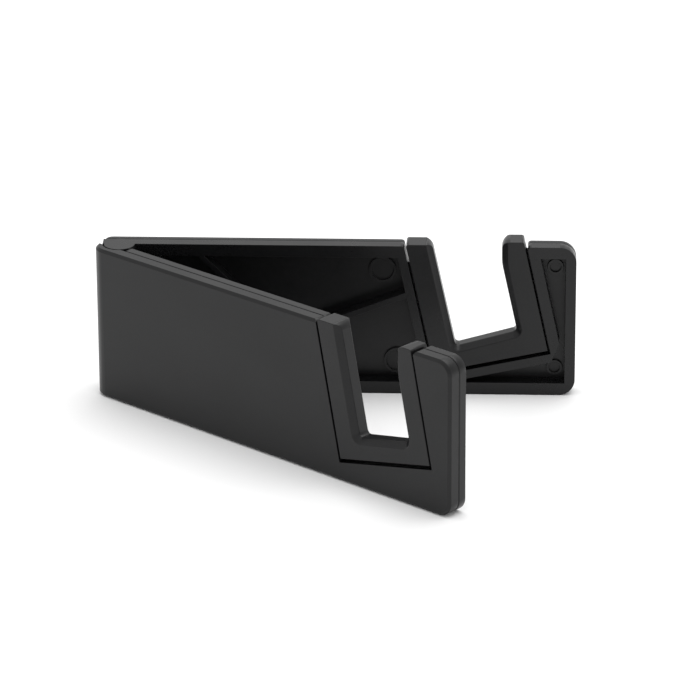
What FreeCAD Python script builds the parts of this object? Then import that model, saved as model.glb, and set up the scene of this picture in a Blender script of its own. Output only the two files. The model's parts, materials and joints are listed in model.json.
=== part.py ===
import FreeCAD, Part
import os
import Sketcher

# A pocket-size folding phone stand: two flat arms joined by an upright hinge.
# The arms open into a V and the phone stands in a leaning slot near each tip.
# World frame: +Z up, +X from the hinge along the middle of the V, left arm on -Y.
# Each arm is drawn in its own frame: X runs from the hinge pin to the tip, Z is up,
# and the depth across the arm is measured outwards from the plane where the arms meet.

DIMENSIONS = {
    "opening_angle": 39.6,        # between the arms, fully open
    "hinge_back": 38.47,          # hinge pin behind the middle of the open stand
    "arm_reach": 86.3,            # hinge pin to tip
    "arm_height": 30.0,
    "arm_thickness": 4.4,
    "face_gap": 0.2,              # inner face to the plane where the arms meet
    "left_seam": 2.0,             # depth of the joint line between frame and shell
    "right_seam": 2.9,
    "left_overhang": 3.88,        # shell beyond the hinge pin
    "right_overhang": 3.23,
    "left_end_radius": 3.68,      # curls round the knuckles
    "right_end_radius": 1.84,
    "left_tip_radius": 2.8,
    "right_tip_radius": 3.15,
    "edge_chamfer": 0.5,
    "edge_start": 10.0,           # the chamfer leaves the hinge end alone
    "seam_chamfer": 0.18,         # each side of the joint line
    "mouth_radius": 0.7,          # panel corners beside the cradle
    "shell_plate": 1.2,
    "shell_wall": 1.2,
    "fit_gap": 0.1,               # between frame lip and shell wall
    "cavity_start": 5.6,
    "rim_top": 2.35,
    "rim_bottom": 2.4,
    "rim_tip": 2.0,
    "rim_hinge": 7.8,
    "seat_lean": 12.2,            # lean of the slot, away from the tip
    "left_seat_reach": 60.01,     # lower hinge-side corner of the cradle seat
    "right_seat_reach": 59.53,
    "seat_rise": 4.01,
    "seat_width": 22.33,
    "side_gap": 0.2,              # half the groove beside the cradle
    "floor_gap": 0.36,            # half the groove under the cradle
    "hinge_side_wall": 1.7,
    "tip_side_wall": 2.05,
    "under_wall": 1.75,
    "web_kink_rise": 6.4,         # where the wall beside the seat turns under it
    "web_kink_inset": 4.6,
    "cut_margin": 10.0,           # how far cuts run past the faces they open
    "hinge_post_width": 5.1,      # cradle upright on the hinge side
    "tip_post_width": 5.16,
    "left_floor_height": 4.45,
    "right_floor_height": 4.55,
    "left_floor_rise": -0.25,     # slot floor, from its hinge side to its tip side
    "right_floor_rise": 0.75,
    "left_hook_height": 25.0,     # where the tip-side upright turns upright
    "right_hook_height": 26.5,
    "hook_radius": 10.0,
    "hinge_post_top": 30.3,
    "left_tip_post_top": 30.2,
    "right_tip_post_top": 31.0,
    "hinge_post_radius": 1.5,
    "left_tip_post_radius": 2.4,
    "right_tip_post_radius": 1.6,
    "cradle_corner": 0.5,
    "slot_corner": 0.8,
    "slot_bevel": 1.05,
    "bevel_reach": 0.2,           # finds the slot's edges for the bevel
    "hook_reach": 1.5,
    "tongue_reach": 0.8,
    "tongue_thickness": 0.6,
    "tongue_gap": 0.05,
    "tongue_depth": 1.2,          # how far the tongue reaches into the cradle
    "hinge_side_notch": 4.2,      # groove open to view below the top edge
    "tip_side_notch": 1.2,
    "long_rib_thickness": 1.06,
    "short_rib_thickness": 0.9,
    "rib_root": 0.5,              # how far a rib runs into the walls it joins
    "long_rib_angle": 21.0,
    "long_rib_height": -0.75,     # where the rib line crosses the hinge pin
    "short_rib_start": 14.7,
    "stud_height": 0.5,
    "large_stud_radius": 2.6,
    "small_stud_radius": 1.55,
    "upper_stud_height": 24.2,
    "upper_stud_inset": 9.9,      # from the seat towards the hinge
    "lower_stud_height": 5.7,
    "lower_stud_inset": 7.1,
    "upper_tip_stud_height": 25.1,
    "lower_tip_stud_height": 4.6,
    "tip_stud_inset": 3.9,
    "stud_wall": 0.5,
    "knuckle_radius": 2.9,
    "knuckle_clearance": 0.3,
    "knuckle_height": 6.0,
    "washer_thickness": 0.4,
    "washer_radius": 2.4,
    "running_gap": 0.05,
    "frame_start": 3.6,
    "web_reach": 7.0,
    "lip_outer": 3.75,            # opening stop on the left shell
    "lip_clearance": 0.1,
    "lip_root": 0.3,
    "lip_shoulder": 0.4,
    "lip_bite": 0.15,
    "lip_end_gap": 1.0,
    "pin_radius": 0.9,
    "pin_end": 27.0,
    "pin_head_radius": 1.6,
    "pin_head_height": 0.8,
    "head_recess": 0.2,
    "bore_gap": 0.05,
    "press_gap": 0.01,
    "pin_end_gap": 0.1,
}

ABOVE = "Sizes.arm_height + Sizes.cut_margin"
DEPTH = "(Sizes.face_gap + Sizes.arm_thickness)"
PLATE_DEPTH = "(" + DEPTH + " - Sizes.shell_plate)"
LOW_ZONE = "Sizes.knuckle_height"
HIGH_ZONE = "(Sizes.arm_height - Sizes.knuckle_height)"

doc = FreeCAD.newDocument("phone_stand")
sizes = doc.addObject("Spreadsheet::Sheet", "Sizes")
for row, (alias, value) in enumerate(DIMENSIONS.items(), start=1):
    sizes.set("A%d" % row, alias)
    sizes.set("B%d" % row, str(value))
    sizes.setAlias("B%d" % row, alias)
doc.recompute()


def number(expression):
    """The present value of an expression of sheet cells."""
    return float(sizes.evalExpression(expression.replace("Sizes.", "")))


def set_back(obj):
    """Put an object drawn about the hinge pin at the pin's place in the world."""
    obj.setExpression("Placement.Base.x", "-Sizes.hinge_back")


class Arm:
    """Which way an arm faces, and the cells that differ between the two arms."""

    def __init__(self, side):
        self.side = side
        self.outward = -1 if side == "left" else 1
        self.seam = "Sizes.%s_seam" % side
        self.overhang = "Sizes.%s_overhang" % side
        self.end_radius = "Sizes.%s_end_radius" % side
        self.seat_reach = "Sizes.%s_seat_reach" % side
        self.floor_height = "Sizes.%s_floor_height" % side
        self.floor_rise = "Sizes.%s_floor_rise" % side
        self.hook_height = "Sizes.%s_hook_height" % side
        self.tip_radius = "Sizes.%s_tip_radius" % side
        self.tip_post_top = "Sizes.%s_tip_post_top" % side
        self.tip_post_radius = "Sizes.%s_tip_post_radius" % side

    def turn(self, obj):
        """Swing an object drawn in the arm's frame to its open place about the hinge."""
        obj.Placement.Rotation = FreeCAD.Rotation(FreeCAD.Vector(0, 0, self.outward), 1)
        obj.setExpression("Placement.Rotation.Angle", "Sizes.opening_angle / 2")
        set_back(obj)

    def across(self, depth):
        """The frame's Y coordinate of a depth."""
        return "%d * (%s)" % (self.outward, depth)


LEFT = Arm("left")
RIGHT = Arm("right")


def plane(body, role):
    return next(f for f in body.Origin.OriginFeatures if f.Role == role)


def new_sketch(body, name, role, height):
    """A sketch on an origin plane of the body, lifted along the plane's normal."""
    sketch = body.newObject("Sketcher::SketchObject", name)
    sketch.AttachmentSupport = [(plane(body, role), "")]
    sketch.MapMode = "FlatFace"
    sketch.setExpression("AttachmentOffset.Base.z", height)
    return sketch


def side_sketch(body, name, arm, depth):
    """A sketch in the arm's side view (X along the arm, Y up) at a depth."""
    return new_sketch(body, name, "XZ_Plane", "%d * (%s)" % (-arm.outward, depth))


def tie(sketch, geometry, point, axis, expression):
    """Hold one coordinate of a sketch point at an expression."""
    kind = "DistanceX" if axis == 0 else "DistanceY"
    value = number(expression)
    index = sketch.addConstraint(Sketcher.Constraint(kind, -1, 1, geometry, point, value))
    sketch.setExpression("Constraints[%d]" % index, expression)


def polygon(sketch, points):
    """A closed outline whose corners are given as pairs of expressions."""
    corners = [FreeCAD.Vector(number(x), number(y), 0) for x, y in points]
    first = sketch.GeometryCount
    count = len(points)
    for i in range(count):
        sketch.addGeometry(Part.LineSegment(corners[i], corners[(i + 1) % count]), False)
    for i in range(count):
        following = first + (i + 1) % count
        sketch.addConstraint(Sketcher.Constraint("Coincident", first + i, 2, following, 1))
    for i, (x, y) in enumerate(points):
        tie(sketch, first + i, 1, 0, x)
        tie(sketch, first + i, 1, 1, y)


def circle(sketch, x, y, radius):
    center = FreeCAD.Vector(number(x), number(y), 0)
    shape = Part.Circle(center, FreeCAD.Vector(0, 0, 1), number(radius))
    geometry = sketch.addGeometry(shape, False)
    tie(sketch, geometry, 3, 0, x)
    tie(sketch, geometry, 3, 1, y)
    size = Sketcher.Constraint("Radius", geometry, number(radius))
    index = sketch.addConstraint(size)
    sketch.setExpression("Constraints[%d]" % index, radius)


def feature(body, kind, name, sketch, length, reverse=False):
    """A pad or a pocket of a given length."""
    item = body.newObject("PartDesign::" + kind, name)
    item.Profile = sketch
    item.Reversed = reverse
    item.setExpression("Length", length)
    sketch.Visibility = False
    doc.recompute()
    return item


def pad_out(body, name, arm, sketch, length):
    """Pad a side sketch away from the plane where the arms meet."""
    return feature(body, "Pad", name, sketch, length, arm.outward > 0)


def pocket_out(body, name, arm, sketch, length):
    """Cut from a side sketch away from the plane where the arms meet."""
    return feature(body, "Pocket", name, sketch, length, arm.outward < 0)


def picked_edges(base, test):
    """The names of the base's edges whose midpoint and direction pass a test."""
    names = []
    for i, edge in enumerate(base.Shape.Edges, start=1):
        middle = edge.valueAt((edge.FirstParameter + edge.LastParameter) / 2)
        ends = edge.lastVertex().Point - edge.firstVertex().Point
        if test(middle, ends):
            names.append("Edge%d" % i)
    return names


def dress(body, kind, name, test, size):
    """Fillet or chamfer the edges of the body's tip that pass a test."""
    base = body.Tip
    edges = picked_edges(base, test)
    if not edges:
        raise ValueError("no edges for " + name)
    item = body.newObject("PartDesign::" + kind, name)
    item.Base = (base, edges)
    item.setExpression("Radius" if kind == "Fillet" else "Size", size)
    doc.recompute()
    return item


def near(value, expression):
    return abs(value - number(expression)) < 0.01


def seat_point(arm, u, v):
    """A point of the leaning seat: u along its floor, v up its hinge-side wall."""
    along = "%s + (%s) * cos(Sizes.seat_lean) - (%s) * sin(Sizes.seat_lean)"
    up = "Sizes.seat_rise + (%s) * sin(Sizes.seat_lean) + (%s) * cos(Sizes.seat_lean)"
    return along % (arm.seat_reach, u, v), up % (u, v)


def wall_point(arm, u, height):
    """Where the seat line at u reaches a height."""
    drop = "(%s - Sizes.seat_rise) * tan(Sizes.seat_lean)" % height
    return "%s + (%s) / cos(Sizes.seat_lean) - %s" % (arm.seat_reach, u, drop), height


def floor_point(arm, v, along):
    """Where the seat line at v stands above a place along the arm."""
    climb = "(%s - %s) * tan(Sizes.seat_lean)" % (along, arm.seat_reach)
    return along, "Sizes.seat_rise + (%s) / cos(Sizes.seat_lean) + %s" % (v, climb)


def rectangle(x0, x1, y0, y1):
    return [(x0, y0), (x1, y0), (x1, y1), (x0, y1)]


SEAT_LOW_U = "-Sizes.side_gap"
SEAT_HIGH_U = "(Sizes.seat_width + Sizes.side_gap)"
SEAT_V = "-Sizes.floor_gap"
HINGE_WALL_U = "(-Sizes.side_gap - Sizes.hinge_side_wall)"
TIP_WALL_U = "(Sizes.seat_width + Sizes.side_gap + Sizes.tip_side_wall)"
UNDER_WALL_V = "(-Sizes.floor_gap - Sizes.under_wall)"


def seat_outline(arm):
    return [wall_point(arm, SEAT_LOW_U, ABOVE), seat_point(arm, SEAT_LOW_U, SEAT_V),
            seat_point(arm, SEAT_HIGH_U, SEAT_V), wall_point(arm, SEAT_HIGH_U, ABOVE)]


def hinge_side_opening(arm, start, bottom, top):
    """The space between the hinge and the seat, inside the given edges."""
    return [(start, bottom), wall_point(arm, HINGE_WALL_U, bottom),
            wall_point(arm, HINGE_WALL_U, top), (start, top)]


def tip_side_opening(arm, tip, bottom, top):
    """The space between the seat and the tip, which narrows under the seat."""
    fall = "(%s - Sizes.seat_rise - %s / cos(Sizes.seat_lean))" % (bottom, UNDER_WALL_V)
    under = "%s + %s / tan(Sizes.seat_lean)" % (arm.seat_reach, fall)
    kink_height = "(Sizes.seat_rise + Sizes.web_kink_rise)"
    kink_along = "(Sizes.arm_reach - Sizes.web_kink_inset)"
    return [(under, bottom), (tip, bottom), (tip, top), wall_point(arm, TIP_WALL_U, top),
            wall_point(arm, TIP_WALL_U, kink_height), floor_point(arm, UNDER_WALL_V, kink_along)]


def new_body(name):
    body = doc.addObject("PartDesign::Body", name)
    body.Label = name
    return body


def cut_seat(body, arm, depth):
    sketch = side_sketch(body, body.Name + "_seat_sketch", arm, depth)
    polygon(sketch, seat_outline(arm))
    return pocket_out(body, body.Name + "_seat", arm, sketch, "Sizes.cut_margin")


def round_tip(body, arm):
    def corner(middle, ends):
        return near(middle.x, "Sizes.arm_reach") and abs(ends.y) > 0.5
    dress(body, "Fillet", body.Name + "_tip_corners", corner, arm.tip_radius)


def round_mouth(body, arm):
    """Round the panel's corners beside the top of the cradle."""
    low = number("%s - Sizes.cut_margin" % arm.seat_reach)
    high = number("Sizes.arm_reach - Sizes.tip_stud_inset")

    def mouth(middle, ends):
        beside = low < middle.x < high
        return near(middle.z, "Sizes.arm_height") and beside and abs(ends.y) > 0.5
    dress(body, "Fillet", body.Name + "_mouth", mouth, "Sizes.mouth_radius")


def groove_seam(body, arm):
    """Chamfer the outline where frame and shell meet, which leaves a fine V groove."""
    def seam_edge(middle, ends):
        outline = [near(middle.z, "0"), near(middle.z, "Sizes.arm_height"),
                   middle.x > number("Sizes.arm_reach - %s - Sizes.fit_gap" % arm.tip_radius)]
        return near(middle.y, arm.across(arm.seam)) and any(outline)
    dress(body, "Chamfer", body.Name + "_seam_edge", seam_edge, "Sizes.seam_chamfer")


def hinge_cylinder(body, kind, name, radius, bottom, height):
    """A pad or a pocket round the hinge pin, from a height upwards."""
    sketch = new_sketch(body, name + "_sketch", "XY_Plane", bottom)
    circle(sketch, "0", "0", radius)
    return feature(body, kind, name, sketch, height, kind == "Pocket")


def tongue_outline(arm, reach, rise):
    """A line beyond the seat by a reach, whose ends stop short of the top edge."""
    hinge_u = "(-Sizes.side_gap - (%s))" % reach
    tip_u = "(Sizes.seat_width + Sizes.side_gap + (%s))" % reach
    low_v = "(-Sizes.floor_gap - (%s))" % reach
    hinge_top = "(Sizes.arm_height - Sizes.hinge_side_notch + (%s))" % rise
    tip_top = "(Sizes.arm_height - Sizes.tip_side_notch + (%s))" % rise
    return [wall_point(arm, hinge_u, hinge_top), seat_point(arm, hinge_u, low_v),
            seat_point(arm, tip_u, low_v), wall_point(arm, tip_u, tip_top)]


def stop_lip(body):
    """A lip behind the hinge that meets the other arm's end when fully open."""
    stop = "(Sizes.right_overhang + Sizes.running_gap)"
    contact = "-((" + stop + " - %s * cos(Sizes.opening_angle)) / sin(Sizes.opening_angle))"
    inner = "(Sizes.knuckle_radius + Sizes.knuckle_clearance + Sizes.lip_clearance)"
    outer = "Sizes.lip_outer"
    neck = "-(Sizes.knuckle_radius - Sizes.lip_root)"
    root = "-(Sizes.left_seam + Sizes.lip_root)"
    shoulder = "-(Sizes.left_seam - Sizes.lip_shoulder)"
    outline = [("-(Sizes.lip_outer - Sizes.lip_bite)", root), ("-" + outer, shoulder),
               ("-" + outer, contact % outer), ("-" + inner, contact % inner),
               (neck, "-Sizes.left_seam"), (neck, root)]
    low = LOW_ZONE + " + Sizes.lip_end_gap"
    sketch = new_sketch(body, body.Name + "_stop_sketch", "XY_Plane", low)
    polygon(sketch, outline)
    tall = HIGH_ZONE + " - " + LOW_ZONE + " - 2 * Sizes.lip_end_gap"
    feature(body, "Pad", body.Name + "_stop", sketch, tall)


def studs(body, arm):
    """Low moulded rings on the plate, near the corners of the openings."""
    large, small = "Sizes.large_stud_radius", "Sizes.small_stud_radius"
    upper = arm.seat_reach + " - Sizes.upper_stud_inset"
    lower = arm.seat_reach + " - Sizes.lower_stud_inset"
    tip = "(Sizes.arm_reach - Sizes.tip_stud_inset)"
    places = [(upper, "Sizes.upper_stud_height", large), (lower, "Sizes.lower_stud_height", large),
              (tip, "Sizes.upper_tip_stud_height", small), (tip, "Sizes.lower_tip_stud_height", small)]
    sketch = side_sketch(body, body.Name + "_stud_sketch", arm, PLATE_DEPTH)
    for x, z, radius in places:
        circle(sketch, x, z, radius)
        circle(sketch, x, z, radius + " - Sizes.stud_wall")
    feature(body, "Pad", body.Name + "_studs", sketch, "Sizes.stud_height", arm.outward < 0)


def shell(arm):
    """The outer shell: a flat plate with a side wall, and walls standing round the seat."""
    body = new_body(arm.side + "_outer_shell")
    base = side_sketch(body, body.Name + "_outline", arm, "Sizes.face_gap")
    polygon(base, rectangle("-" + arm.overhang, "Sizes.arm_reach", "0", "Sizes.arm_height"))
    pad_out(body, body.Name + "_slab", arm, base, "Sizes.arm_thickness")
    round_tip(body, arm)

    def hinge_edge(middle, ends):
        outer = near(middle.y, arm.across(DEPTH))
        return outer and near(middle.x, "-" + arm.overhang) and abs(ends.z) > 1
    dress(body, "Fillet", body.Name + "_hinge_end", hinge_edge, arm.end_radius)

    inner = side_sketch(body, body.Name + "_inner_sketch", arm, "0")
    past = "Sizes.cut_margin"
    polygon(inner, rectangle("-" + past, "Sizes.arm_reach + " + past, "-" + past, ABOVE))
    pocket_out(body, body.Name + "_inner", arm, inner, arm.seam)

    def outer_edge(middle, ends):
        return near(middle.y, arm.across(DEPTH)) and middle.x > number("Sizes.edge_start")
    dress(body, "Chamfer", body.Name + "_edge", outer_edge, "Sizes.edge_chamfer")
    groove_seam(body, arm)
    cut_seat(body, arm, "0")
    round_mouth(body, arm)

    cavity = side_sketch(body, body.Name + "_cavity_sketch", arm, arm.seam)
    low = "Sizes.shell_wall"
    high = "(Sizes.arm_height - Sizes.shell_wall)"
    tip = "(Sizes.arm_reach - Sizes.shell_wall)"
    polygon(cavity, hinge_side_opening(arm, "Sizes.cavity_start", low, high))
    polygon(cavity, tip_side_opening(arm, tip, low, high))
    pocket_out(body, body.Name + "_cavity", arm, cavity, PLATE_DEPTH + " - " + arm.seam)

    rebate = side_sketch(body, body.Name + "_rebate_sketch", arm, arm.seam)
    polygon(rebate, tongue_outline(arm, "Sizes.tongue_reach + Sizes.fit_gap", "2 * Sizes.fit_gap"))
    rebate_depth = "Sizes.tongue_thickness + Sizes.tongue_gap"
    pocket_out(body, body.Name + "_rebate", arm, rebate, rebate_depth)

    room = "Sizes.knuckle_radius + Sizes.knuckle_clearance"
    name = body.Name + "_knuckle_room"
    if arm is LEFT:
        hinge_cylinder(body, "Pocket", name, room, "0", "Sizes.arm_height")
        stop_lip(body)
    else:
        hinge_cylinder(body, "Pocket", name, room, LOW_ZONE, HIGH_ZONE + " - " + LOW_ZONE)
    studs(body, arm)
    arm.turn(body)
    return body


def long_rib_outline(arm, seat_u):
    """The long diagonal rib, from the pocket's lower hinge corner up to the seat's wall."""
    slope = "tan(Sizes.long_rib_angle)"
    half = "(Sizes.long_rib_thickness / 2 / cos(Sizes.long_rib_angle))"
    start = "(Sizes.rim_hinge - Sizes.rib_root)"
    wall = arm.seat_reach + " + (%s) / cos(Sizes.seat_lean)" % seat_u
    edges = []
    for sign in ("-", "+"):
        line = "(Sizes.long_rib_height %s %s)" % (sign, half)
        above_seat = "(Sizes.seat_rise - %s) * tan(Sizes.seat_lean)" % line
        end = "((%s + %s) / (1 + %s * tan(Sizes.seat_lean)))" % (wall, above_seat, slope)
        edges.append([(along, "%s + %s * %s" % (line, slope, along)) for along in (start, end)])
    lower, upper = edges
    return lower + upper[::-1]


def short_rib_outline():
    """The rib that falls at 45 degrees from the top rim onto the long rib."""
    wide = "(Sizes.short_rib_thickness / cos(45))"
    top = "(Sizes.arm_height - Sizes.rim_top)"
    fall = "(%s + Sizes.short_rib_start - Sizes.long_rib_height)" % top
    meet = "(%s / (1 + tan(Sizes.long_rib_angle)))" % fall
    low = "(%s + Sizes.short_rib_start - %s)" % (top, meet)
    begin = "(Sizes.short_rib_start - Sizes.rib_root)"
    above = top + " + Sizes.rib_root"
    return [(begin, above), (meet, low), (meet + " + " + wide, low), (begin + " + " + wide, above)]


def ribs(body, arm):
    """Each rib in two depths, because the shell's wall stands behind the frame's edge."""
    layers = [("front", "Sizes.face_gap", arm.seam + " - Sizes.face_gap",
               HINGE_WALL_U + " + Sizes.rib_root"),
              ("back", arm.seam, PLATE_DEPTH + " - Sizes.tongue_gap - " + arm.seam,
               HINGE_WALL_U + " - Sizes.fit_gap")]
    for layer, front, depth, seat_u in layers:
        outlines = {"long_rib": long_rib_outline(arm, seat_u), "short_rib": short_rib_outline()}
        for rib, outline in outlines.items():
            name = "%s_%s_%s" % (body.Name, rib, layer)
            sketch = side_sketch(body, name + "_sketch", arm, front)
            polygon(sketch, outline)
            pad_out(body, name, arm, sketch, depth)


def left_knuckle(body):
    """The middle knuckle, on a web from the left frame, with the pin's running bore."""
    low = "(%s + Sizes.washer_thickness + 2 * Sizes.running_gap)" % LOW_ZONE
    tall = "Sizes.arm_height - 2 * " + low
    web = new_sketch(body, body.Name + "_web_sketch", "XY_Plane", low)
    polygon(web, rectangle("0", "Sizes.web_reach", "-Sizes.left_seam", "-Sizes.face_gap"))
    feature(body, "Pad", body.Name + "_web", web, tall)
    hinge_cylinder(body, "Pad", body.Name + "_knuckle", "Sizes.knuckle_radius", low, tall)
    bore = "Sizes.pin_radius + Sizes.bore_gap"
    hinge_cylinder(body, "Pocket", body.Name + "_bore", bore, low, tall)


def right_knuckles(body):
    """The top and bottom knuckles, with the pin's blind seat and its head's recess."""
    room = "Sizes.knuckle_radius + Sizes.knuckle_clearance"
    hinge_cylinder(body, "Pocket", body.Name + "_room", room, LOW_ZONE, HIGH_ZONE + " - " + LOW_ZONE)
    knuckle = "Sizes.knuckle_radius"
    hinge_cylinder(body, "Pad", body.Name + "_low_knuckle", knuckle, "0", LOW_ZONE)
    hinge_cylinder(body, "Pad", body.Name + "_high_knuckle", knuckle, HIGH_ZONE, LOW_ZONE)
    seat = "Sizes.pin_radius + Sizes.press_gap"
    depth = "Sizes.pin_end + Sizes.pin_end_gap"
    hinge_cylinder(body, "Pocket", body.Name + "_pin_seat", seat, "0", depth)
    head = "Sizes.pin_head_radius + Sizes.bore_gap"
    recess = "Sizes.head_recess + Sizes.pin_head_height"
    hinge_cylinder(body, "Pocket", body.Name + "_head_recess", head, "0", recess)


def frame(arm):
    """The inner frame: a rim, walls beside the seat, ribs and the hinge knuckles."""
    body = new_body(arm.side + "_inner_frame")
    start = "Sizes.frame_start" if arm is LEFT else "-Sizes.right_overhang"
    base = side_sketch(body, body.Name + "_outline", arm, "Sizes.face_gap")
    polygon(base, rectangle(start, "Sizes.arm_reach", "0", "Sizes.arm_height"))
    pad_out(body, body.Name + "_slab", arm, base, arm.seam + " - Sizes.face_gap")
    round_tip(body, arm)
    groove_seam(body, arm)
    cut_seat(body, arm, "0")
    round_mouth(body, arm)

    inset = "(Sizes.shell_wall + Sizes.fit_gap)"
    lip = side_sketch(body, body.Name + "_lip_sketch", arm, arm.seam)
    high = "(Sizes.arm_height - %s)" % inset
    begin = "(Sizes.cavity_start + Sizes.fit_gap)"
    polygon(lip, hinge_side_opening(arm, begin, inset, high))
    polygon(lip, tip_side_opening(arm, "(Sizes.arm_reach - %s)" % inset, inset, high))
    pad_out(body, body.Name + "_lip", arm, lip, PLATE_DEPTH + " - Sizes.tongue_gap - " + arm.seam)

    openings = side_sketch(body, body.Name + "_openings_sketch", arm, "0")
    low, high = "Sizes.rim_bottom", "(Sizes.arm_height - Sizes.rim_top)"
    polygon(openings, hinge_side_opening(arm, "Sizes.rim_hinge", low, high))
    polygon(openings, tip_side_opening(arm, "(Sizes.arm_reach - Sizes.rim_tip)", low, high))
    pocket_out(body, body.Name + "_openings", arm, openings, "Sizes.cut_margin")
    ribs(body, arm)
    if arm is LEFT:
        left_knuckle(body)
    else:
        right_knuckles(body)
    arm.turn(body)
    return body


def cradle_outline(arm):
    tip_u = "(Sizes.seat_width - Sizes.side_gap)"
    slot_u = "(Sizes.seat_width - Sizes.tip_post_width)"
    hook = wall_point(arm, slot_u, arm.hook_height)
    return [wall_point(arm, "Sizes.side_gap", "Sizes.hinge_post_top"),
            seat_point(arm, "Sizes.side_gap", "Sizes.floor_gap"),
            seat_point(arm, tip_u, "Sizes.floor_gap"),
            wall_point(arm, tip_u, arm.tip_post_top),
            (hook[0], arm.tip_post_top), hook,
            seat_point(arm, slot_u, "(%s + %s)" % (arm.floor_height, arm.floor_rise)),
            seat_point(arm, "Sizes.hinge_post_width", arm.floor_height),
            wall_point(arm, "Sizes.hinge_post_width", "Sizes.hinge_post_top")]


def corner_test(point):
    """A test for the upright line across the arm at a corner of an outline."""
    x, z = number(point[0]), number(point[1])

    def test(middle, ends):
        return abs(middle.x - x) < 0.02 and abs(middle.z - z) < 0.02 and abs(ends.y) > 0.5
    return test


def round_post_tops(body, arm, corners):
    """Round the four top corners of the cradle's two uprights."""
    rounds = [(0, "Sizes.cradle_corner"), (3, "Sizes.cradle_corner"),
              (4, arm.tip_post_radius), (8, "Sizes.hinge_post_radius")]
    for corner, radius in rounds:
        name = "%s_top_round_%d" % (body.Name, corner)
        dress(body, "Fillet", name, corner_test(corners[corner]), radius)


def bevel_slot(body, arm):
    """Bevel the slot's edges on both faces of the cradle, but not the tops."""
    low_u = number("Sizes.hinge_post_width - Sizes.bevel_reach")
    high_u = number("Sizes.seat_width - Sizes.tip_post_width + Sizes.hook_reach")
    low_v = number(arm.floor_height + " - Sizes.bevel_reach")
    top = number("Sizes.left_tip_post_top - Sizes.bevel_reach")

    def slot_edge(middle, ends):
        u, v = seat_place(arm, middle)
        return low_u < u < high_u and v > low_v and middle.z < top and abs(ends.y) < 0.01
    dress(body, "Chamfer", body.Name + "_slot_bevel", slot_edge, "Sizes.slot_bevel")


def cradle(arm):
    """The U-shaped insert that holds the phone, with a tongue held between shell and frame."""
    body = new_body(arm.side + "_cradle")
    base = side_sketch(body, body.Name + "_outline", arm, "Sizes.face_gap")
    corners = cradle_outline(arm)
    polygon(base, corners)
    pad_out(body, body.Name + "_block", arm, base, "Sizes.arm_thickness")
    rounds = [(5, "Sizes.hook_radius"), (6, "Sizes.slot_corner"), (7, "Sizes.slot_corner")]
    for corner, radius in rounds:
        name = "%s_slot_round_%d" % (body.Name, corner)
        dress(body, "Fillet", name, corner_test(corners[corner]), radius)
    bevel_slot(body, arm)
    round_post_tops(body, arm, corners)

    tongue = side_sketch(body, body.Name + "_tongue_sketch", arm, arm.seam)
    outer = tongue_outline(arm, "Sizes.tongue_reach", "0")
    inner = tongue_outline(arm, "-Sizes.tongue_depth", "0")
    polygon(tongue, outer + inner[::-1])
    pad_out(body, body.Name + "_tongue", arm, tongue, "Sizes.tongue_thickness")
    arm.turn(body)
    return body


def seat_place(arm, point):
    """A point's place in the leaning seat, along its floor and up its wall."""
    lean = FreeCAD.Rotation(FreeCAD.Vector(0, 1, 0), number("Sizes.seat_lean"))
    corner = FreeCAD.Vector(number(arm.seat_reach), 0, number("Sizes.seat_rise"))
    place = lean.multVec(point - corner)
    return place.x, place.z


def turned_pin():
    """The steel hinge pin, pressed up through the knuckles from below."""
    body = new_body("hinge_pin")
    top = "Sizes.pin_end - Sizes.head_recess"
    hinge_cylinder(body, "Pad", "pin_shank", "Sizes.pin_radius", "Sizes.head_recess", top)
    hinge_cylinder(body, "Pad", "pin_head", "Sizes.pin_head_radius", "Sizes.head_recess",
                   "Sizes.pin_head_height")
    set_back(body)
    return body


def washer(name, bottom):
    body = new_body(name)
    sketch = new_sketch(body, name + "_sketch", "XY_Plane", bottom)
    circle(sketch, "0", "0", "Sizes.washer_radius")
    circle(sketch, "0", "0", "Sizes.pin_radius + Sizes.bore_gap")
    feature(body, "Pad", name + "_disc", sketch, "Sizes.washer_thickness")
    set_back(body)
    return body


def export(bodies):
    os.makedirs("parts", exist_ok=True)
    for item in doc.Objects:
        if "Invalid" in item.State or "Error" in item.State:
            raise RuntimeError("broken feature: " + item.Name)
    for body in bodies:
        shape = body.Shape
        if shape.isNull() or not shape.isValid() or len(shape.Solids) != 1:
            raise RuntimeError("bad shape: " + body.Label)
        shape.exportStep("parts/%s.step" % body.Label)
        print(body.Label, round(shape.Volume, 2))


low_washer_place = LOW_ZONE + " + Sizes.running_gap"
high_washer_place = HIGH_ZONE + " - Sizes.running_gap - Sizes.washer_thickness"
assembly = [shell(LEFT), frame(LEFT), cradle(LEFT), shell(RIGHT), frame(RIGHT), cradle(RIGHT),
            turned_pin(), washer("lower_hinge_washer", low_washer_place),
            washer("upper_hinge_washer", high_washer_place)]
doc.recompute()
export(assembly)
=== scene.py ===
import json
import math

import bpy
from mathutils import Matrix, Vector


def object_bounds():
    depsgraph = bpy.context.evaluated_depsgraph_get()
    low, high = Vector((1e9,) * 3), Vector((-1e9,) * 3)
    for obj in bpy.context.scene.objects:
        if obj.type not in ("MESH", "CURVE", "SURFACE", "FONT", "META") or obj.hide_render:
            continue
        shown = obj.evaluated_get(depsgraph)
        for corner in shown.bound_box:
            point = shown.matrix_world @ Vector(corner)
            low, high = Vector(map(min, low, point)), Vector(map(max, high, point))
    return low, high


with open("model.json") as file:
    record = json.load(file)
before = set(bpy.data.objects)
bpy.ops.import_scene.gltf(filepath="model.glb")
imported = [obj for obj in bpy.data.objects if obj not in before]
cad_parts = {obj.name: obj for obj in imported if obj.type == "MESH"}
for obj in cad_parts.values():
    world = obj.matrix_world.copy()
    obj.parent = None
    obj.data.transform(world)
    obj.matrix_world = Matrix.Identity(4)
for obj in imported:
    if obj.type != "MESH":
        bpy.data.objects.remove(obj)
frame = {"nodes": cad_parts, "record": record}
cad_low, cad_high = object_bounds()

MM = 0.001

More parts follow.
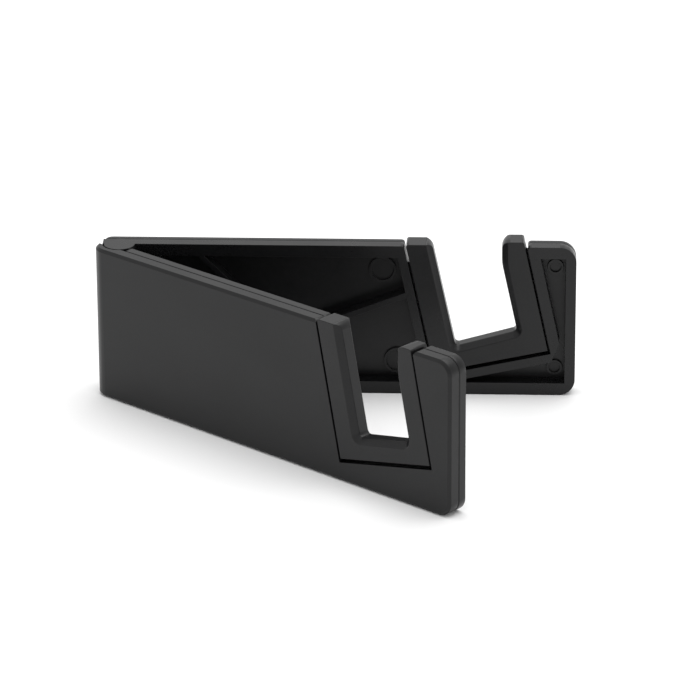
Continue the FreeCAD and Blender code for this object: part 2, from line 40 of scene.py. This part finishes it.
# The camera stands in front of the left arm and looks past the foot of the hinge pin.
CAMERA_AZIMUTH = math.radians(22.198)
CAMERA_ELEVATION = math.radians(21.885)
CAMERA_ROLL = math.radians(-0.274)
CAMERA_RIGHT = 43.43 * MM
CAMERA_UP = 7.80 * MM
CAMERA_DISTANCE = 839.6 * MM
CAMERA_LENS = 225.57
SENSOR_WIDTH = 36.0
CLIP_START = 0.01
CLIP_END = 20.0

PLASTIC_IOR = 1.38
BLACK_DARK = (0.0030, 0.0030, 0.0033)
BLACK_LIGHT = (0.0055, 0.0055, 0.0060)
CRADLE_DARK = (0.0035, 0.0035, 0.0038)
CRADLE_LIGHT = (0.0065, 0.0065, 0.0070)
WASHER_DARK = (0.05, 0.05, 0.05)
WASHER_LIGHT = (0.08, 0.08, 0.08)
STEEL_DARK = (0.42, 0.42, 0.43)
STEEL_LIGHT = (0.58, 0.58, 0.60)
FLOOR_DARK = (0.90, 0.90, 0.90)
FLOOR_LIGHT = (0.92, 0.92, 0.92)

# Moulded plastic: long flow marks, fine specks, handling marks, grain and a slight waviness.
FLOW_SIZE = 9 * MM
FLOW_STRETCH = (0.35, 1.0, 1.0)
SPECK_SIZE = 0.35 * MM
MARK_TOTAL_LOW = 0.75
MARK_TOTAL_HIGH = 1.25
HANDLED_SIZE = 14 * MM
HANDLED_GLOSS = 0.04
SPECK_GLOSS = 0.02
GRAIN_SIZE = 0.16 * MM
GRAIN_DEPTH = 0.003 * MM
GRAIN_STRENGTH = 0.25
WASHER_GRAIN_SIZE = 0.25 * MM
WASHER_GRAIN_DEPTH = 0.004 * MM
WAVE_SIZE = 12 * MM
WAVE_DEPTH = 0.01 * MM
WAVE_STRENGTH = 0.3
SHELL_ROUGHNESS = 0.34
FRAME_ROUGHNESS = 0.30
CRADLE_ROUGHNESS = 0.32
WASHER_ROUGHNESS = 0.50

# Ground steel: fine rings round the pin.
RING_SIZE = 0.5 * MM
RING_STRETCH = (0.2, 0.2, 6.0)
RING_GLOSS_LOW = 0.24
RING_GLOSS_HIGH = 0.38
RING_DEPTH = 0.004 * MM
RING_STRENGTH = 0.5

WELD_DISTANCE = 0.001 * MM
FLAT_ANGLE = math.radians(0.05)
SHARP_ANGLE = math.radians(35)
ROUND_STEPS = 3
LARGE_FACE_CORNERS = 5
SHELL_EDGE = 0.05 * MM
FRAME_EDGE = 0.06 * MM
CRADLE_EDGE = 0.12 * MM
WASHER_EDGE = 0.04 * MM
PIN_EDGE = 0.08 * MM

FLOOR_SIZE = 3.0
FLOOR_GAP = 0.02 * MM
FLOOR_MARK_SIZE = 40 * MM
FLOOR_ROUGHNESS = 0.9

WORLD_STRENGTH = 0.84
TOP_POWER = 10.0
TOP_PLACE = (0.10, 0.20, 1.10)
TOP_SIZE = 1.2

SHELL = ("left_outer_shell", "right_outer_shell")
FRAME = ("left_inner_frame", "right_inner_frame")
CRADLE = ("left_cradle", "right_cradle")
WASHER = ("lower_hinge_washer", "upper_hinge_washer")
PIN = ("hinge_pin",)


class Graph:
    """A new material, and a short way to add and join its nodes."""

    def __init__(self, name):
        self.material = bpy.data.materials.new(name)
        self.material.use_nodes = True
        self.tree = self.material.node_tree
        self.shader = self.tree.nodes["Principled BSDF"]
        self.place = self.add("ShaderNodeTexCoord").outputs["Object"]

    def add(self, kind, **values):
        node = self.tree.nodes.new(kind)
        for key, value in values.items():
            setattr(node, key, value)
        return node

    def join(self, source, target):
        self.tree.links.new(source, target)

    def noise(self, size, detail=2.0, stretch=(1.0, 1.0, 1.0)):
        """Noise whose grains are about a given size in metres, drawn out along an axis."""
        spread = self.add("ShaderNodeMapping")
        spread.inputs["Scale"].default_value = stretch
        self.join(self.place, spread.inputs["Vector"])
        node = self.add("ShaderNodeTexNoise")
        node.inputs["Scale"].default_value = 1.0 / size
        node.inputs["Detail"].default_value = detail
        self.join(spread.outputs["Vector"], node.inputs["Vector"])
        return node.outputs["Fac"]

    def remap(self, value, low, high, start=0.3, end=0.7):
        node = self.add("ShaderNodeMapRange")
        node.inputs["From Min"].default_value = start
        node.inputs["From Max"].default_value = end
        node.inputs["To Min"].default_value = low
        node.inputs["To Max"].default_value = high
        self.join(value, node.inputs["Value"])
        return node.outputs["Result"]

    def blend_colors(self, value, first, second):
        node = self.add("ShaderNodeMix", data_type="RGBA")
        node.inputs["A"].default_value = (*first, 1.0)
        node.inputs["B"].default_value = (*second, 1.0)
        self.join(value, node.inputs["Factor"])
        return node.outputs["Result"]

    def total(self, first, second):
        node = self.add("ShaderNodeMath", operation="ADD")
        self.join(first, node.inputs[0])
        self.join(second, node.inputs[1])
        return node.outputs["Value"]

    def bump(self, height, distance, strength=1.0, under=None):
        node = self.add("ShaderNodeBump")
        node.inputs["Distance"].default_value = distance
        node.inputs["Strength"].default_value = strength
        self.join(height, node.inputs["Height"])
        if under is not None:
            self.join(under, node.inputs["Normal"])
        return node.outputs["Normal"]


def moulded_plastic(name, dark, light, roughness, grain, depth):
    """Black moulded plastic: near-black body, satin gloss, fine grain and handling marks."""
    g = Graph(name)
    flow = g.noise(FLOW_SIZE, 3.0, FLOW_STRETCH)
    speck = g.noise(SPECK_SIZE)
    tone = g.remap(g.total(flow, speck), 0.0, 1.0, MARK_TOTAL_LOW, MARK_TOTAL_HIGH)
    g.join(g.blend_colors(tone, dark, light), g.shader.inputs["Base Color"])
    handled = g.noise(HANDLED_SIZE, 4.0)
    rough = g.total(g.remap(handled, roughness - HANDLED_GLOSS, roughness + HANDLED_GLOSS),
                    g.remap(speck, -SPECK_GLOSS, SPECK_GLOSS))
    g.join(rough, g.shader.inputs["Roughness"])
    fine = g.bump(g.noise(grain), depth, GRAIN_STRENGTH)
    wave = g.bump(g.noise(WAVE_SIZE, 1.0), WAVE_DEPTH, WAVE_STRENGTH, fine)
    g.join(wave, g.shader.inputs["Normal"])
    g.shader.inputs["IOR"].default_value = PLASTIC_IOR
    return g.material


def drawn_steel(name):
    """Ground wire: fine marks round the pin, a little uneven in gloss."""
    g = Graph(name)
    g.shader.inputs["Metallic"].default_value = 1.0
    rings = g.noise(RING_SIZE, 3.0, RING_STRETCH)
    g.join(g.blend_colors(rings, STEEL_DARK, STEEL_LIGHT), g.shader.inputs["Base Color"])
    g.join(g.remap(rings, RING_GLOSS_LOW, RING_GLOSS_HIGH), g.shader.inputs["Roughness"])
    g.join(g.bump(rings, RING_DEPTH, RING_STRENGTH), g.shader.inputs["Normal"])
    return g.material


def floor_material():
    g = Graph("studio_floor")
    g.join(g.blend_colors(g.noise(FLOOR_MARK_SIZE), FLOOR_DARK, FLOOR_LIGHT),
           g.shader.inputs["Base Color"])
    g.shader.inputs["Roughness"].default_value = FLOOR_ROUGHNESS
    g.shader.inputs["Specular IOR Level"].default_value = 0.0
    return g.material


def soften_edges(obj, width):
    """Moulded edges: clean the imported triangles, then round every sharp edge.

    Large faces are cut into triangles first, because a bevel folds big concave faces over.
    """
    weld = obj.modifiers.new("weld", "WELD")
    weld.merge_threshold = WELD_DISTANCE
    clean = obj.modifiers.new("clean", "DECIMATE")
    clean.decimate_type = "DISSOLVE"
    clean.angle_limit = FLAT_ANGLE
    cut = obj.modifiers.new("cut", "TRIANGULATE")
    cut.min_vertices = LARGE_FACE_CORNERS
    bevel = obj.modifiers.new("bevel", "BEVEL")
    bevel.width = width
    bevel.segments = ROUND_STEPS
    bevel.limit_method = "ANGLE"
    bevel.angle_limit = SHARP_ANGLE
    bevel.use_clamp_overlap = False
    bevel.loop_slide = False
    bevel.harden_normals = True


def dress(nodes, material, edge):
    for name in nodes:
        obj = frame["nodes"][name]
        obj.data.materials.clear()
        obj.data.materials.append(material)
        soften_edges(obj, edge)


def make_camera():
    joint = frame["record"]["behaviour"]["joints"][0]
    back = Vector((math.sin(CAMERA_AZIMUTH) * math.cos(CAMERA_ELEVATION),
                   -math.cos(CAMERA_AZIMUTH) * math.cos(CAMERA_ELEVATION),
                   math.sin(CAMERA_ELEVATION)))
    level = Vector((math.cos(CAMERA_AZIMUTH), math.sin(CAMERA_AZIMUTH), 0.0))
    rise = back.cross(level)
    right = math.cos(CAMERA_ROLL) * level + math.sin(CAMERA_ROLL) * rise
    up = math.cos(CAMERA_ROLL) * rise - math.sin(CAMERA_ROLL) * level
    data = bpy.data.cameras.new("camera")
    data.sensor_width = SENSOR_WIDTH
    data.lens = CAMERA_LENS
    data.clip_start = CLIP_START
    data.clip_end = CLIP_END
    camera = bpy.data.objects.new("camera", data)
    turn = Matrix((right, up, back)).transposed().to_4x4()
    place = Vector(joint["pos_m"]) + CAMERA_RIGHT * right + CAMERA_UP * up
    camera.matrix_world = Matrix.Translation(place + CAMERA_DISTANCE * back) @ turn
    bpy.context.scene.collection.objects.link(camera)
    bpy.context.scene.camera = camera


def make_floor():
    half = FLOOR_SIZE / 2
    mesh = bpy.data.meshes.new("floor")
    corners = [(-half, -half, -FLOOR_GAP), (half, -half, -FLOOR_GAP),
               (half, half, -FLOOR_GAP), (-half, half, -FLOOR_GAP)]
    mesh.from_pydata(corners, [], [(0, 1, 2, 3)])
    floor = bpy.data.objects.new("floor", mesh)
    mesh.materials.append(floor_material())
    bpy.context.scene.collection.objects.link(floor)


def softbox(name, place, size, power):
    """A square area light aimed at the middle of the stand."""
    data = bpy.data.lights.new(name, "AREA")
    data.size = size
    data.energy = power
    light = bpy.data.objects.new(name, data)
    light.location = place
    aim = (cad_low + cad_high) / 2 - Vector(place)
    light.rotation_euler = aim.to_track_quat("-Z", "Y").to_euler()
    bpy.context.scene.collection.objects.link(light)


def make_studio():
    world = bpy.data.worlds.new("studio")
    world.use_nodes = True
    background = world.node_tree.nodes["Background"]
    background.inputs["Color"].default_value = (1.0, 1.0, 1.0, 1.0)
    background.inputs["Strength"].default_value = WORLD_STRENGTH
    bpy.context.scene.world = world
    bpy.context.scene.view_settings.view_transform = "Standard"
    softbox("top_box", TOP_PLACE, TOP_SIZE, TOP_POWER)


shell_plastic = moulded_plastic("shell_black", BLACK_DARK, BLACK_LIGHT,
                                SHELL_ROUGHNESS, GRAIN_SIZE, GRAIN_DEPTH)
frame_plastic = moulded_plastic("frame_black", BLACK_DARK, BLACK_LIGHT,
                                FRAME_ROUGHNESS, GRAIN_SIZE, GRAIN_DEPTH)
cradle_plastic = moulded_plastic("cradle_black", CRADLE_DARK, CRADLE_LIGHT,
                                 CRADLE_ROUGHNESS, GRAIN_SIZE, GRAIN_DEPTH)
washer_plastic = moulded_plastic("washer_grey", WASHER_DARK, WASHER_LIGHT,
                                 WASHER_ROUGHNESS, WASHER_GRAIN_SIZE, WASHER_GRAIN_DEPTH)

dress(SHELL, shell_plastic, SHELL_EDGE)
dress(FRAME, frame_plastic, FRAME_EDGE)
dress(CRADLE, cradle_plastic, CRADLE_EDGE)
dress(WASHER, washer_plastic, WASHER_EDGE)
dress(PIN, drawn_steel("pin_steel"), PIN_EDGE)

make_camera()
make_floor()
make_studio()
